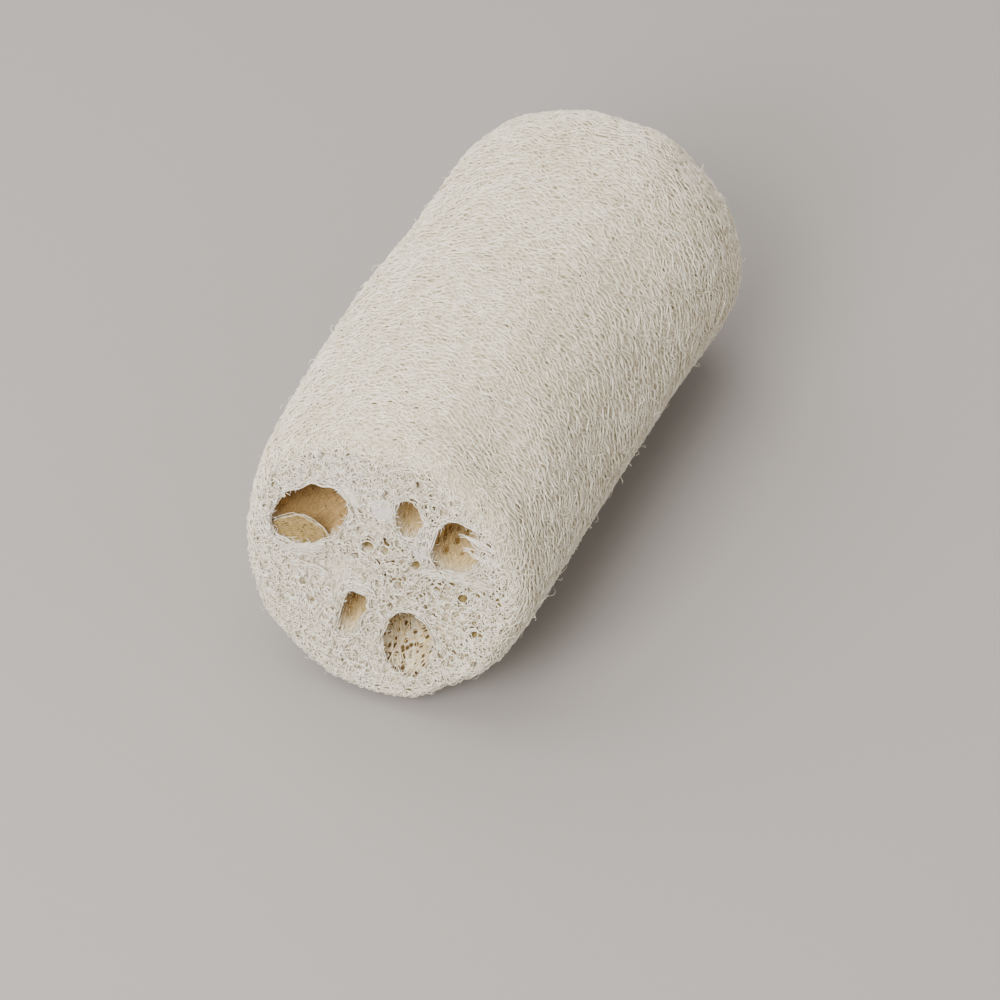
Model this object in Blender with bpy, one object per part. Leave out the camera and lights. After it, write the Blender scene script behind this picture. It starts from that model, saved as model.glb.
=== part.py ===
"""A natural loofah sponge: one cut length of the dried fibre skeleton of a luffa gourd.

It grew as one piece, so it is one closed body: a spongy wall under a raised net of fibres,
with three seed chambers running through it from cut face to cut face. Two of the chambers
are parted in two by a thin fibrous wall. The front was cut a little askew, and the back end
narrows in a long round shoulder. The sponge lies on its side on a small flat spot.
The gourd's axis is +Y, the front cut face looks along -Y, and +Z is up.
"""

import math
import random

import bmesh
import bpy
from mathutils import Vector, geometry, noise

# Driving dimensions, in metres.
LENGTH = 0.1255
DIAMETER = 0.067
FLAT_DEPTH = 0.0008
FRONT_NARROWING = 0.06
FRONT_RIM = (0.0038, 0.0066)
BACK_SHOULDER = (0.0130, 0.0262)

# The front cut leans: its top lies further back than its foot, and its right side than its left.
CUT_SLOPE_ACROSS = 0.05
CUT_SLOPE_UP = 0.20
FRONT_OFFSET = 0.0028

# The net on the skin: bricks of fibre, longer round the gourd than along it.
BRICKS_AROUND = 33
BODY_ROWS = 26
RIM_ROWS = 3
SHOULDER_ROWS = 9
BRICK_ZIGZAG = 0.00055
SKIN_PIT = 0.0013
SKIN_JITTER = 0.00042

# The net on the two cut faces.
FACE_SPACING = 0.0056
FACE_PIT = 0.0013
FACE_SWELL = 0.0010
MIN_CELL_AREA = 4.5e-6

# The lengthwise net that lines the chambers.
CHAMBER_ROWS = 12
CHAMBER_PIT = 0.0008
CHAMBER_JITTER = 0.00018
MOUTH_FLARE = 1.05

# Towards the back the chambers draw in to the axis and get narrower.
BACK_GATHER = 0.34
BACK_SHRINK = 0.38
TAPER_START = 0.5

# Each chamber at the front cut, measured from the gourd's axis: centre x and z, half-axes,
# tilt in degrees, sides, and how far its lower lip slopes out to the cut.
CHAMBERS = {
    "left": ((-0.0152, 0.0090), (0.0104, 0.0071), 44.0, 16, 0.0),
    "upper_small": ((0.0058, 0.0158), (0.0029, 0.0048), 0.0, 10, 0.0),
    "upper_large": ((0.0159, 0.0121), (0.0050, 0.0063), -15.0, 14, 0.0),
    "lower_small": ((-0.0039, -0.0104), (0.0027, 0.0054), -14.0, 10, 0.0025),
    "lower_large": ((0.0080, -0.0124), (0.0056, 0.0060), -5.0, 14, 0.0040),
}

FIBRE_COLOUR = (0.78, 0.71, 0.58, 1.0)
SEED = 7


def swelling(place, size, reach):
    """A smooth natural unevenness, up to about reach either way."""
    return noise.noise(place / size) * reach


def skin_radius(angle, y):
    """The distance from the gourd's axis to its skin, at an angle from +X towards +Z."""
    corners = 0.0008 * math.cos(3 * angle - 1.1) + 0.0004 * math.cos(5 * angle + 0.4)
    ribs = 0.00022 * math.cos(10 * angle + 6 * y)
    forward = max(0.0, -2 * y / LENGTH)
    return DIAMETER / 2 * (1 - FRONT_NARROWING * forward ** 1.5) + corners + ribs


def skin_point(angle, inset, y):
    """A point of the skin, drawn in by inset, with the underside pressed flat."""
    radius = skin_radius(angle, y) - inset
    place = Vector((radius * math.cos(angle), y, radius * math.sin(angle)))
    radius += swelling(place, 0.022, 0.0011)
    return Vector((radius * math.cos(angle), y, max(radius * math.sin(angle), floor_height())))


def floor_height():
    """The height of the pressed underside, from the gourd's axis."""
    return FLAT_DEPTH - DIAMETER / 2


def quarter_round(depth, length, rows):
    """The inset and the distance from the cut along a rounded end, from the cut inwards."""
    turns = [math.radians(90) * row / rows for row in range(rows)]
    return [(depth * (1 - math.sin(turn)), length * (1 - math.cos(turn))) for turn in turns]


def skin_profile():
    """The inset and the place along the axis of each ring of the skin, front to back."""
    half = LENGTH / 2
    front = [(inset, s - half) for inset, s in quarter_round(*FRONT_RIM, RIM_ROWS)]
    back = [(inset, half - s) for inset, s in quarter_round(*BACK_SHOULDER, SHOULDER_ROWS)]
    first, last = FRONT_RIM[1] - half, half - BACK_SHOULDER[1]
    body = [(0.0, first + (last - first) * row / BODY_ROWS) for row in range(BODY_ROWS + 1)]
    return front + body + back[::-1]


def lean(place):
    """Moves a point as the front cut leans, less and less towards the middle."""
    share = max(0.0, -2 * place.y / LENGTH) ** 1.5
    slope = CUT_SLOPE_ACROSS * place.x + CUT_SLOPE_UP * place.z
    return place + share * Vector((FRONT_OFFSET, slope, 0.0))


def skin_rings(bm, draw):
    """The rings of vertices that the skin's net hangs on, shifted to and fro for its cells."""
    profile = skin_profile()
    columns = 2 * BRICKS_AROUND
    rings = []
    for row, (inset, y) in enumerate(profile):
        at_end = row in (0, len(profile) - 1)
        ring = []
        for column in range(columns):
            shift = BRICK_ZIGZAG if (column - row) % 2 == 0 else -BRICK_ZIGZAG
            wander = 0.0 if at_end else draw.uniform(-SKIN_JITTER, SKIN_JITTER) + shift
            angle = 2 * math.pi * (column + draw.uniform(-0.16, 0.16)) / columns
            ring.append(bm.verts.new(skin_point(angle, inset, y + wander)))
        rings.append(ring)
    return rings


def lay_bricks(bm, rings):
    """Six-cornered cells in brick bond between the rings."""
    columns = len(rings[0])
    cells = []
    for row in range(len(rings) - 1):
        lower, upper = rings[row], rings[row + 1]
        for start in range(row % 2, columns, 2):
            turn = [(start + step) % columns for step in range(3)]
            cells.append(bm.faces.new([lower[c] for c in turn] + [upper[c] for c in reversed(turn)]))
    return cells


def chamber_ring(chamber, share, draw):
    """The points of a chamber's wall at a share of the way from front to back."""
    centre, half_axes, tilt, sides, sill = CHAMBERS[chamber]
    taper = max(0.0, (share - TAPER_START) / (1 - TAPER_START)) ** 1.5
    gather, size = 1 - BACK_GATHER * taper, 1 - BACK_SHRINK * taper
    meander = 0.0006 * math.sin(2 * math.pi * share + 100 * centre[0])
    flare = MOUTH_FLARE if share in (0.0, 1.0) else 1.0
    tilt = math.radians(tilt)
    points = []
    for side in range(sides):
        angle = 2 * math.pi * side / sides
        wander = draw.uniform(-CHAMBER_JITTER, CHAMBER_JITTER)
        across = (half_axes[0] * size * flare + wander) * math.cos(angle)
        along = (half_axes[1] * size * flare + wander) * math.sin(angle)
        if share == 0.0:
            along -= sill * max(0.0, -math.sin(angle))
        x = centre[0] * gather + meander + across * math.cos(tilt) - along * math.sin(tilt)
        z = centre[1] * gather - meander + across * math.sin(tilt) + along * math.cos(tilt)
        points.append(Vector((x, (share - 0.5) * LENGTH, z)))
    return points


def line_chamber(bm, chamber, draw):
    """One chamber's wall of long cells; returns its cells and its two mouths."""
    rings = []
    for row in range(CHAMBER_ROWS + 1):
        points = chamber_ring(chamber, row / CHAMBER_ROWS, draw)
        rings.append([bm.verts.new(point) for point in points])
    cells = []
    for lower, upper in zip(rings, rings[1:]):
        for side, vert in enumerate(lower):
            beside = (side + 1) % len(lower)
            cells.append(bm.faces.new([vert, upper[side], upper[beside], lower[beside]]))
    return cells, rings[0], rings[-1]


def inside(point, loop):
    """True where a point of the face lies within a loop of vertices, seen along the axis."""
    crossings = 0
    for this, following in zip(loop, loop[1:] + loop[:1]):
        low, high = sorted((this.co, following.co), key=lambda corner: corner.z)
        if low.z <= point.y < high.z:
            reach = (point.y - low.z) / (high.z - low.z)
            crossings += point.x < low.x + reach * (high.x - low.x)
    return crossings % 2 == 1


def face_points(outline, mouths, draw):
    """Knots of the net inside a cut face, on an uneven triangular grid."""
    clearance = 0.55 * FACE_SPACING
    edges = [vert.co for loop in [outline] + mouths for vert in loop]
    row_height = FACE_SPACING * math.sqrt(3) / 2
    reach = int(DIAMETER / 2 / row_height) + 1
    points = []
    for row in range(-reach, reach + 1):
        for column in range(-reach, reach + 1):
            across = (column + 0.5 * (row % 2) + draw.uniform(-0.22, 0.22)) * FACE_SPACING
            point = Vector((across, row * row_height + draw.uniform(-0.2, 0.2) * FACE_SPACING))
            near = min((Vector((edge.x, edge.z)) - point).length for edge in edges)
            if near < clearance or not inside(point, outline):
                continue
            if not any(inside(point, mouth) for mouth in mouths):
                points.append(point)
    return points


def net_face(bm, outline, mouths, side, draw):
    """A cut face: a triangle net between the skin's end ring and the chambers' mouths."""
    knots = [bm.verts.new((p.x, side * (LENGTH / 2 + swelling(p.to_3d(), 0.012, FACE_SWELL)), p.y))
             for p in face_points(outline, mouths, draw)]
    verts, edges = [], []
    for loop in [outline] + mouths:
        first = len(verts)
        verts += loop
        edges += [(first + n, first + (n + 1) % len(loop)) for n in range(len(loop))]
    verts += knots
    flat = [Vector((vert.co.x, vert.co.z)) for vert in verts]
    triangles = geometry.delaunay_2d_cdt(flat, edges, [], 0, 1e-7)[2]
    cells = []
    for triangle in triangles:
        middle = sum((flat[corner] for corner in triangle), Vector((0, 0))) / 3
        if inside(middle, outline) and not any(inside(middle, mouth) for mouth in mouths):
            cells.append(bm.faces.new([verts[corner] for corner in triangle]))
    return cells


def sink_pits(bm, cells, depth):
    """Draws each cell's middle in, so that its edges stand up as fibres."""
    bmesh.ops.poke(bm, faces=cells, offset=-depth, use_relative_offset=False,
                   center_mode="MEAN_WEIGHTED")


def is_flat_spot(cell):
    """True for a cell that lies wholly on the pressed underside."""
    return all(abs(vert.co.z - floor_height()) < 1e-7 for vert in cell.verts)


def make_body():
    """The whole sponge as one closed mesh."""
    draw = random.Random(SEED)
    bm = bmesh.new()
    rings = skin_rings(bm, draw)
    skin_cells = lay_bricks(bm, rings)
    chamber_cells, front_mouths, back_mouths = [], [], []
    for chamber in CHAMBERS:
        cells, front, back = line_chamber(bm, chamber, draw)
        chamber_cells += cells
        front_mouths.append(front)
        back_mouths.append(back)
    face_cells = net_face(bm, rings[0], front_mouths, -1, draw)
    face_cells += net_face(bm, rings[-1], back_mouths, 1, draw)
    for vert in bm.verts:
        vert.co = lean(vert.co)
    bmesh.ops.recalc_face_normals(bm, faces=bm.faces)
    sink_pits(bm, [cell for cell in skin_cells if not is_flat_spot(cell)], SKIN_PIT)
    sink_pits(bm, chamber_cells, CHAMBER_PIT)
    sink_pits(bm, [cell for cell in face_cells if cell.calc_area() > MIN_CELL_AREA], FACE_PIT)
    return bm


def stand_on_origin(mesh):
    """Moves the mesh so that the origin is at its box's bottom centre."""
    corners = [vert.co for vert in mesh.vertices]
    middle_x = (min(c.x for c in corners) + max(c.x for c in corners)) / 2
    middle_y = (min(c.y for c in corners) + max(c.y for c in corners)) / 2
    lowest = min(c.z for c in corners)
    for vert in mesh.vertices:
        vert.co -= Vector((middle_x, middle_y, lowest))


def fibre_material():
    """Pale, dull, dry plant fibre."""
    material = bpy.data.materials.new("dry_luffa_fibre")
    material.use_nodes = True
    shader = material.node_tree.nodes["Principled BSDF"]
    shader.inputs["Base Color"].default_value = FIBRE_COLOUR
    shader.inputs["Roughness"].default_value = 0.88
    shader.inputs["Metallic"].default_value = 0.0
    return material


def main():
    for leftover in list(bpy.data.objects):
        bpy.data.objects.remove(leftover)
    collection = bpy.data.collections.new("natural_loofah_sponge")
    bpy.context.scene.collection.children.link(collection)
    bm = make_body()
    mesh = bpy.data.meshes.new("loofah_sponge")
    bm.to_mesh(mesh)
    bm.free()
    stand_on_origin(mesh)
    mesh.shade_smooth()
    mesh.set_sharp_from_angle(angle=math.radians(50))
    mesh.materials.append(fibre_material())
    sponge = bpy.data.objects.new("loofah_sponge", mesh)
    collection.objects.link(sponge)


main()
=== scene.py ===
"""The looks of a natural loofah sponge: a cut length of dried luffa gourd, all of it plant fibre."""
import math

import bpy
import numpy as np
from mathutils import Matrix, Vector, geometry, kdtree, noise


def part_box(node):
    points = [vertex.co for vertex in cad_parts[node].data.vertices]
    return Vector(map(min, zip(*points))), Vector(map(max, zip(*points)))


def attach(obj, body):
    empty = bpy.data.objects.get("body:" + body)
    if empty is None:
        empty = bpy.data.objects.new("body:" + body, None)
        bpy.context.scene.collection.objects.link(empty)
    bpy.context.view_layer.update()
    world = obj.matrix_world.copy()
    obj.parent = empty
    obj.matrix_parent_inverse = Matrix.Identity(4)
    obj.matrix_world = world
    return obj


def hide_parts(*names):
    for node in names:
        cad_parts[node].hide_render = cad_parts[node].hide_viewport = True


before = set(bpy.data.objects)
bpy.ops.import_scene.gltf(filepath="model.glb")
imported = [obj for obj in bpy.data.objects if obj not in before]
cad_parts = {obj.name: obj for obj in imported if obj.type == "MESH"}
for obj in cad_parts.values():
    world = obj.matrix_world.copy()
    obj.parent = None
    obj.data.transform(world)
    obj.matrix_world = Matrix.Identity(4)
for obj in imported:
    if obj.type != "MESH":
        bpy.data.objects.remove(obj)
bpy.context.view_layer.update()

MM = 0.001


# The camera looks down on the front cut face and the right flank, through a long lens. It is
# aimed a little below the sponge, which so stands above the middle of the picture.
SPONGE_MIDDLE = Vector((-0.95 * MM, 2.91 * MM, 32.7 * MM))
AZIMUTH = math.radians(26.69)
ELEVATION = math.radians(44.53)
CAMERA_DISTANCE = 765 * MM
AIM_BELOW = 26.5 * MM
AIM_LEFT = 0.5 * MM
LENS_LENGTH = 129.6
camera_data = bpy.data.cameras.new("sponge_camera")
camera_data.sensor_width = 36.0
camera_data.lens = LENS_LENGTH
camera = bpy.data.objects.new("sponge_camera", camera_data)
bpy.context.scene.collection.objects.link(camera)
towards_camera = Vector((math.sin(AZIMUTH) * math.cos(ELEVATION),
                         -math.cos(AZIMUTH) * math.cos(ELEVATION),
                         math.sin(ELEVATION)))
picture_right = Vector((math.cos(AZIMUTH), math.sin(AZIMUTH), 0.0))
picture_up = towards_camera.cross(picture_right)
camera.location = SPONGE_MIDDLE + towards_camera * CAMERA_DISTANCE
aim = SPONGE_MIDDLE - picture_up * AIM_BELOW - picture_right * AIM_LEFT
camera.rotation_euler = (aim - camera.location).to_track_quat("-Z", "Y").to_euler()
bpy.context.scene.camera = camera


# The spongy wall is the bulk of the gourd: a dense felt of fibre, pale under the skin and
# golden round the three seed chambers that it grew about, which run from cut to cut. It lies
# just under the skin, the cut faces and the chambers' linings.
AXIS_HEIGHT = 32.7 * MM
LENGTH = 125.5 * MM
DIAMETER = 67.0 * MM
CORNER_WAVES = (3, 0.8 * MM, -1.1), (5, 0.4 * MM, 0.4)
RIBS, RIB_HEIGHT, RIB_TWIST = 10, 0.22 * MM, 6
SWELL_SIZE, SWELL_HEIGHT = 22 * MM, 1.1 * MM
FRONT_NARROWING = 0.06
FRONT_RIM = (3.8 * MM, 6.6 * MM)
BACK_SHOULDER = (13.0 * MM, 26.2 * MM)
CUT_SLOPE_ACROSS = 0.05
CUT_SLOPE_UP = 0.20
FRONT_OFFSET = 2.8 * MM
EASE = 1.5
WALL_DEPTH = 0.8 * MM
SKIN_DEPTH = 0.7 * MM
# Each chamber's middle, its half width and height, its tilt, and how far its mouth's lower and
# upper lips reach in.
CHAMBERS = {
    "left": ((-15.2 * MM, 9.0 * MM), (10.4 * MM, 7.1 * MM), 44.0, (0.0, -1.7 * MM)),
    "upper_small": ((5.8 * MM, 15.8 * MM), (2.9 * MM, 4.8 * MM), 0.0, (0.0, 0.0)),
    "upper_large": ((15.9 * MM, 12.1 * MM), (5.0 * MM, 6.3 * MM), -15.0, (0.0, 0.8 * MM)),
    "lower_small": ((-3.9 * MM, -10.4 * MM), (2.7 * MM, 5.4 * MM), -14.0, (2.5 * MM, 0.0)),
    "lower_large": ((8.0 * MM, -12.4 * MM), (5.6 * MM, 6.0 * MM), -5.0, (4.0 * MM, 0.0)),
}


def slow_noise(size, *parts):
    """A slow swelling at places given by their three parts."""
    found = [noise.noise(Vector(place) / size) for place in zip(*[np.ravel(part) for part in parts])]
    return np.reshape(found, parts[0].shape)


def base_radius(angle, y):
    """The distance from the axis to the skin before its swelling."""
    corners = sum(height * np.cos(count * angle + turn) for count, height, turn in CORNER_WAVES)
    ribs = RIB_HEIGHT * np.cos(RIBS * angle + RIB_TWIST * y)
    forward = np.maximum(0.0, -2 * y / LENGTH)
    return DIAMETER / 2 * (1 - FRONT_NARROWING * forward ** EASE) + corners + ribs


# The profile runs over the front rim, along the body and down the back shoulder. It starts and
# ends a little way in on the cut faces, where the skin's own fibres end.
ONTO_FACE = 9.0 * MM
rim_turn = np.radians(np.linspace(0, 90, 14))
front_curve = np.stack([FRONT_RIM[0] * (1 - np.sin(rim_turn)),
                        FRONT_RIM[1] * (1 - np.cos(rim_turn)) - LENGTH / 2], 1)
shoulder_turn = np.radians(np.linspace(90, 0, 40))
back_curve = np.stack([BACK_SHOULDER[0] * (1 - np.sin(shoulder_turn)),
                       LENGTH / 2 - BACK_SHOULDER[1] * (1 - np.cos(shoulder_turn))], 1)
front_face, back_face = front_curve[:1] + [ONTO_FACE, 0.0], back_curve[-1:] + [ONTO_FACE, 0.0]
profile = np.concatenate([front_face, front_curve, back_curve, back_face])
profile_step = np.hypot(*np.diff(profile, axis=0).T)
profile_run = np.concatenate([[0.0], np.cumsum(profile_step)]) - ONTO_FACE
SKIN_RUN = float(profile_run[-2])

# The swelling is worked out once on a grid of places and read back between them.
SWELL_ANGLES, SWELL_PLACES = 180, 90
swell_angle, swell_y = np.meshgrid(np.linspace(0, 2 * np.pi, SWELL_ANGLES + 1),
                                   np.linspace(-LENGTH / 2, LENGTH / 2, SWELL_PLACES + 1), indexing="ij")
swell_radius = base_radius(swell_angle, swell_y)
swell_grid = SWELL_HEIGHT * slow_noise(SWELL_SIZE, swell_radius * np.cos(swell_angle), swell_y,
                                       swell_radius * np.sin(swell_angle))


def swelling_at(angle, y):
    """The swelling read from its grid."""
    column = np.mod(angle, 2 * np.pi) / (2 * np.pi) * SWELL_ANGLES
    row = np.clip((y / LENGTH + 0.5) * SWELL_PLACES, 0, SWELL_PLACES - 1e-6)
    low_c, low_r = column.astype(int) % SWELL_ANGLES, row.astype(int)
    part_c, part_r = column - np.floor(column), row - low_r
    upper = swell_grid[low_c, low_r] * (1 - part_r) + swell_grid[low_c, low_r + 1] * part_r
    lower = swell_grid[low_c + 1, low_r] * (1 - part_r) + swell_grid[low_c + 1, low_r + 1] * part_r
    return upper * (1 - part_c) + lower * part_c


def lean(places):
    """Moves points as the askew front cut leans, less and less towards the middle."""
    share = np.maximum(0.0, -2 * places[..., 1] / LENGTH) ** EASE
    moved = np.array(places)
    moved[..., 1] += share * (CUT_SLOPE_ACROSS * places[..., 0] + CUT_SLOPE_UP * places[..., 2])
    moved[..., 0] += share * FRONT_OFFSET
    return moved


def skin_normal(angle, run):
    """The way out of the skin."""
    middles = (profile_run[1:] + profile_run[:-1]) / 2
    axial = np.clip(np.interp(run, middles, np.diff(profile[:, 0]) / profile_step), -1, 1)
    radial = np.sqrt(1 - axial ** 2)
    return np.stack([radial * np.cos(angle), axial, radial * np.sin(angle)], -1)


def skin_place(angle, run, height, clearance=0.0):
    """A point at a height over the skin, kept off the floor, from the gourd's own axis."""
    inset = np.interp(run, profile_run, profile[:, 0])
    y = np.interp(run, profile_run, profile[:, 1])
    radius = base_radius(angle, y) + swelling_at(angle, y) - inset
    place = np.stack([radius * np.cos(angle), y, radius * np.sin(angle)], -1)
    place = place + skin_normal(angle, run) * np.asarray(height)[..., None]
    place[..., 2] = np.maximum(place[..., 2], clearance - AXIS_HEIGHT)
    return lean(place)


# Towards the back the chambers gather round the axis and shrink, and they meander on the way.
GATHER, SHRINK = 0.34, 0.38
MEANDER, MEANDER_SHIFT = 0.6 * MM, 100
LIP_SHARE = 0.08


def chamber_place(chamber, angle, share, outward=0.0):
    """A point of a chamber's wall, at a share of the way from front to back."""
    centre, half_axes, tilt, (sill, brow) = CHAMBERS[chamber]
    taper = np.maximum(0.0, (share - 0.5) / 0.5) ** EASE
    gather, size = 1 - GATHER * taper, 1 - SHRINK * taper
    meander = MEANDER * np.sin(2 * np.pi * share + MEANDER_SHIFT * centre[0])
    lip = np.clip(1 - share / LIP_SHARE, 0, 1)
    tilt = math.radians(tilt)
    across = (half_axes[0] * size + outward) * np.cos(angle)
    rise = np.sin(angle)
    along = (half_axes[1] * size + outward) * rise
    along = along - lip * (sill * np.maximum(0.0, -rise) - brow * np.maximum(0.0, rise))
    x = centre[0] * gather + meander + across * math.cos(tilt) - along * math.sin(tilt)
    z = centre[1] * gather - meander + across * math.sin(tilt) + along * math.cos(tilt)
    return np.stack([x, (share - 0.5) * LENGTH + 0 * x, z], -1)


def mesh_object(name, places, faces, *materials):
    """A smooth piece of the sponge in its own frame, from places round the gourd's axis."""
    mesh = bpy.data.meshes.new(name)
    mesh.from_pydata((np.asarray(places) + AXIS_SHIFT).tolist(), [], faces)
    for material in materials:
        mesh.materials.append(material)
    mesh.shade_smooth()
    made = bpy.data.objects.new(name, mesh)
    bpy.context.scene.collection.objects.link(made)
    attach(made, "root")
    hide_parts("loofah_sponge")
    return made


def grid_faces(first, rows, columns, closed=False):
    """The faces of a grid of points that begins at the first. A closed grid's last row meets its
    first one."""
    faces = []
    for row in range(rows if closed else rows - 1):
        start, beside = first + row * columns, first + (row + 1) % rows * columns
        faces += [[start + n, beside + n, beside + n + 1, start + n + 1] for n in range(columns - 1)]
    return faces


def row_ends(first, rows, columns):
    """The first and the last point of each row of a grid."""
    front = first + np.arange(rows) * columns
    return front, front + columns - 1


# The gourd's axis in the sponge's frame: the middles of the two boxes are the same.
check_angle, check_run = np.meshgrid(np.linspace(0, 2 * np.pi, 91), np.linspace(0, SKIN_RUN, 61),
                                     indexing="ij")
check = skin_place(check_angle, check_run, np.zeros_like(check_angle)).reshape(-1, 3)
sponge_low, sponge_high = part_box("loofah_sponge")
shift = (Vector(sponge_low) + Vector(sponge_high)) / 2 - Vector((check.min(0) + check.max(0)) / 2)
AXIS_SHIFT = np.array([shift.x, shift.y, AXIS_HEIGHT])

WALL_COLUMNS, WALL_ROWS = 168, 96
WALL_CLEARANCE = 0.8 * MM
LINING_DEPTH = 0.35 * MM
wall_angle, wall_run = np.meshgrid(np.arange(WALL_COLUMNS) * 2 * np.pi / WALL_COLUMNS,
                                   np.linspace(0, SKIN_RUN, WALL_ROWS), indexing="ij")
wall_skin = skin_place(wall_angle, wall_run, np.full_like(wall_angle, -SKIN_DEPTH), WALL_CLEARANCE)
wall_places = [wall_skin.reshape(-1, 3)]
wall_faces = [[a, d, c, b] for a, b, c, d in grid_faces(0, WALL_COLUMNS, WALL_ROWS, closed=True)]
wall_rings = [row_ends(0, WALL_COLUMNS, WALL_ROWS)]
wall_count = WALL_COLUMNS * WALL_ROWS
TUBE_SIDES = {"left": 44, "upper_small": 26, "upper_large": 34, "lower_small": 26, "lower_large": 36}
TUBE_ROWS = 56
for chamber, sides in TUBE_SIDES.items():
    tube_angle, tube_share = np.meshgrid(np.arange(sides) * 2 * np.pi / sides,
                                         np.linspace(0, 1, TUBE_ROWS), indexing="ij")
    tube = chamber_place(chamber, tube_angle, tube_share, LINING_DEPTH)
    tube[..., 1] = np.clip(tube[..., 1], WALL_DEPTH - LENGTH / 2, LENGTH / 2 - WALL_DEPTH)
    wall_places.append(lean(tube).reshape(-1, 3))
    wall_faces += grid_faces(wall_count, sides, TUBE_ROWS, closed=True)
    wall_rings.append(row_ends(wall_count, sides, TUBE_ROWS))
    wall_count += sides * TUBE_ROWS


def within(points, loop):
    """Whether each point lies inside a closed loop of corners, all in x and z."""
    found = np.zeros(len(points), bool)
    for (x0, z0), (x1, z1) in zip(loop, np.roll(loop, -1, 0)):
        if z0 == z1:
            continue
        crossed = (z0 <= points[:, 1]) != (z1 <= points[:, 1])
        found ^= crossed & (points[:, 0] < x0 + (points[:, 1] - z0) / (z1 - z0) * (x1 - x0))
    return found


draw = np.random.default_rng(11)
ROW_STEP = 0.866


def staggered_spots(spacing, reach, scatter):
    """Spots in staggered rows over a cut face, each moved a little at random."""
    steps = range(-int(reach / spacing), int(reach / spacing) + 1)
    spots = np.array([((column + 0.5 * (row % 2)) * spacing, row * spacing * ROW_STEP)
                      for row in steps for column in steps])
    return spots + draw.uniform(-scatter, scatter, spots.shape) * spacing


def inside_first(points, loops):
    """Whether each point lies inside the first loop and outside the others."""
    return within(points, loops[0]) & ~np.any([within(points, loop) for loop in loops[1:]], axis=0)


def cut_face(places, rings, spacing):
    """The triangles of a cut face, and the knots that they need between its rings."""
    loops = [places[ring][:, [0, 2]] for ring in rings]
    knots = staggered_spots(spacing, 36 * MM, 0.2)
    near = np.min([np.hypot(*(knots - corner).T) for loop in loops for corner in loop], axis=0)
    knots = knots[inside_first(knots, loops) & (near > 0.5 * spacing)]
    corners = [Vector(c) for loop in loops for c in loop] + [Vector(k) for k in knots]
    edges, first = [], 0
    for loop in loops:
        edges += [(first + n, first + (n + 1) % len(loop)) for n in range(len(loop))]
        first += len(loop)
    found = geometry.delaunay_2d_cdt(corners, edges, [], 0, 1e-7)
    triangles = np.array(found[2])
    spread = np.array([tuple(c) for c in found[0]])
    return triangles[inside_first(spread[triangles].mean(1), loops)], knots


# The wide pores of the front cut, as x, z and radius in mm from the cut's own middle: the cells
# that the knife opened in the core and in the webs beside it. Smaller ones lie between them.
# The front cut is side -1 and the back cut side 1.
FRONT_MIDDLE = np.array([FRONT_OFFSET, 0.0])
CUT_SHARE = {-1: 0.0, 1: 1.0}
CUT_OFFSET = {-1: FRONT_OFFSET, 1: 0.0}
WIDE_PORES = ((-2.4, 5.9, 1.4), (-4.7, 2.5, 1.0), (8.4, 5.3, 1.2), (4.5, 9.4, 1.0), (1.4, 6.3, 1.2),
              (0.7, -2.1, 0.9), (5.5, -0.8, 1.1), (0.2, 1.3, 1.0), (3.6, 2.4, 0.9), (13.5, 1.1, 0.9),
              (14.2, 2.9, 0.7), (19.3, 0.7, 1.2), (16.4, 3.2, 0.7), (22.2, -6.9, 1.2), (22.2, 2.9, 0.8),
              (26.6, 8.0, 0.9), (-16.9, -5.6, 0.8), (-15.9, -7.8, 0.8), (-12.8, -5.6, 0.9),
              (-13.3, -12.0, 0.8), (-9.9, -14.4, 0.8), (-7.1, 23.2, 0.9), (-2.3, 24.9, 0.7),
              (2.8, -21.6, 0.8), (-15.4, -23.3, 0.8), (10.1, 18.4, 0.9), (11.6, 16.9, 0.8),
              (10.3, 15.3, 0.7), (11.2, 20.0, 0.7), (22.2, 11.7, 0.8), (23.0, 9.7, 0.9),
              (21.9, 8.1, 0.7), (23.4, 13.4, 0.7))
FINE_PORES = 190
FINE_RADIUS = 0.28 * MM, 0.6 * MM
PORE_SPREAD = {-1: 13.0 * MM, 1: 8.0 * MM}
PORE_LIMIT = {-1: 26.5 * MM, 1: 18.5 * MM}
PORE_GAP = 0.7 * MM
PORE_DEPTH = 3.0 * MM
PORE_STEEPNESS = 2.6
PORE_OVERLAP = 1.15


def open_spots(spots, share, gap):
    """Which spots of a cut face lie clear of the chambers' mouths."""
    turn = np.linspace(0, 2 * np.pi, 48, endpoint=False)
    clear = np.ones(len(spots), bool)
    for chamber in CHAMBERS:
        mouth = lean(chamber_place(chamber, turn, np.full_like(turn, share), gap))[:, [0, 2]]
        clear &= ~within(spots, mouth)
    return clear


def drawn_pores(side):
    """The pores of a cut face as rows of x, z and radius, most of them towards its middle."""
    spots = draw.normal(0, PORE_SPREAD[side], (FINE_PORES, 2))
    fine = np.column_stack([spots, draw.uniform(*FINE_RADIUS, FINE_PORES)])
    wide = np.array(WIDE_PORES) * MM
    wide[:, :2] += FRONT_MIDDLE
    pores = np.concatenate([wide, fine]) if side < 0 else fine
    keep = np.hypot(pores[:, 0], pores[:, 1]) < PORE_LIMIT[side]
    return pores[keep & open_spots(pores[:, :2], CUT_SHARE[side], PORE_GAP)]


def pore_depth(pores, x, z):
    """How deep the pores sink a cut face at each place."""
    away = np.hypot(x[:, None] - pores[:, 0], z[:, None] - pores[:, 1]) / (PORE_OVERLAP * pores[:, 2])
    depth = np.minimum(PORE_DEPTH, PORE_STEEPNESS * pores[:, 2]) * np.sqrt(np.maximum(0.0, 1 - away ** 2))
    return depth.max(1)


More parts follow.
